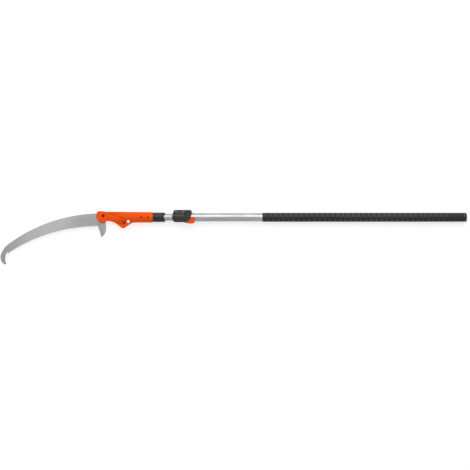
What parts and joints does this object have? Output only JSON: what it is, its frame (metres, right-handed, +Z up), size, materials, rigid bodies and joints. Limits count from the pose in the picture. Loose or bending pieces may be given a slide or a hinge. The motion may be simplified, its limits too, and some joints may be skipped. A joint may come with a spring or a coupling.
{
  "type": "telescoping pole saw",
  "caption": "Curved saw blade with a tip hook and claw, in an orange holder on a telescoping aluminium pole with a flip-lever clamp and a long grip.",
  "frame": {"origin": "centre of the butt end's flat face, on the pole's axis", "axes": "+X out of the butt end along the pole, so the blade is towards -X; the cutting edge faces -Y; +Z is up from the surface that the tool lies on, square to the blade"},
  "size_m": [1.8648, 0.2183, 0.045],
  "materials": {
    "aluminium_tube": "satin, drawn and clear anodised",
    "grip_rubber": "matt black sleeve with pale chevrons",
    "black_plastic": "moulded, fine spark texture",
    "grey_plastic": "moulded dark grey, satin",
    "white_plastic": "natural slippery plastic",
    "orange_plastic": "moulded orange, slightly glossy",
    "pad_rubber": "friction rubber",
    "zinc_steel": "zinc plated",
    "black_steel": "blackened, oiled",
    "blade_steel": "ground, satin grey"
  },
  "bodies": {
    "outer_pole": {"outer_tube": "aluminium_tube", "grip_sleeve": "grip_rubber", "end_cap": "black_plastic", "clamp_front_shell": "grey_plastic", "clamp_back_shell": "grey_plastic", "mouth_bush": "white_plastic", "clamp_screws": "zinc_steel", "clamp_nuts": "zinc_steel", "lever_pin": "zinc_steel", "lever_pin_clip": "zinc_steel"},
    "saw_head": {"inner_tube": "aluminium_tube", "glide_plug": "black_plastic", "glide_ring": "white_plastic", "glide_rivet": "zinc_steel", "pole_collar": "black_plastic", "holder_front_shell": "orange_plastic", "holder_back_shell": "orange_plastic", "head_bolt": "black_steel", "head_nut": "zinc_steel", "head_washers": "zinc_steel", "lug_screw": "black_steel", "lug_nut": "zinc_steel", "socket_rivets": "black_steel", "saw_blade": "blade_steel"},
    "lever": {"lock_lever": "orange_plastic"},
    "brake": {"brake_shoe": "black_plastic", "brake_pad": "pad_rubber"}
  },
  "joints": [
    {"name": "telescope_slide", "type": "slide", "parent": "outer_pole", "child": "saw_head", "axis": [-1, 0, 0], "range_m": [0, 0.94]},
    {"name": "lever_hinge", "type": "hinge", "parent": "outer_pole", "child": "lever", "pos_m": [-1.117, -0.0196, 0], "axis": [0, 0, -1], "range_deg": [0, 100]},
    {"name": "brake_slide", "type": "slide", "parent": "outer_pole", "child": "brake", "axis": [0, -1, 0], "range_m": [0, 0.0004]}
  ],
  "couplings": [
    {"joint": "brake_slide", "follows": "lever_hinge", "m_per_rad": 0.00022895}
  ]
}
